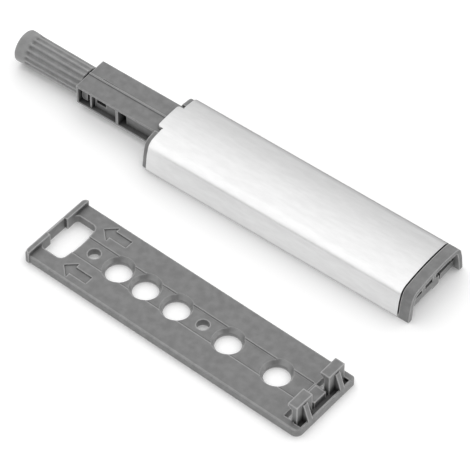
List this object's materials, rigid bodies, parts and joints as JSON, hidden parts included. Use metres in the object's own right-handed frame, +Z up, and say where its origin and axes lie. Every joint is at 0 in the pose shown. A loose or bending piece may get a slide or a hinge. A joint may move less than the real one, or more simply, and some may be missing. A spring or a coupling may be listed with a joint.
{
  "type": "cupboard catch latch",
  "caption": "Push-to-open cupboard latch: sprung plunger with a screw-adjusted ribbed tip in an aluminium-sleeved body, beside its screw-on hooked mounting plate.",
  "frame": {"origin": "middle of the latch body's underside, on its middle plane", "axes": "+X the way the plunger comes out, +Z up from the mounting face, +Y towards the mounting plate that lies beside it"},
  "size_m": [0.1196, 0.0616, 0.0088],
  "materials": {
    "satin_aluminium": "satin anodised",
    "grey_plastic": "fine matt moulded",
    "steel": "zinc plated",
    "magnet": "nickel plated"
  },
  "bodies": {
    "latch": {"sleeve": "satin_aluminium", "latch_body": "grey_plastic", "track_wire": "steel", "return_spring": "steel", "mounting_plate": "grey_plastic"},
    "plunger": {"plunger": "grey_plastic"},
    "tip_carrier": {"tip_magnet": "magnet"},
    "tip": {"ribbed_tip": "grey_plastic", "adjusting_screw": "steel"}
  },
  "joints": [
    {"name": "plunger_slide", "type": "slide", "parent": "latch", "child": "plunger", "axis": [1, 0, 0], "range_m": [-0.0215, 0], "stiffness_N_per_m": 100, "springref_m": 0.01, "deforming": ["return_spring"]},
    {"name": "tip_travel", "type": "slide", "parent": "plunger", "child": "tip_carrier", "axis": [1, 0, 0], "range_m": [0, 0.004]},
    {"name": "tip_turn", "type": "hinge", "parent": "tip_carrier", "child": "tip", "pos_m": [0.07, 0, 0.0044], "axis": [1, 0, 0], "range_deg": [0, 1440]}
  ],
  "couplings": [
    {"joint": "tip_turn", "follows": "tip_travel", "rad_per_m": 6283}
  ]
}
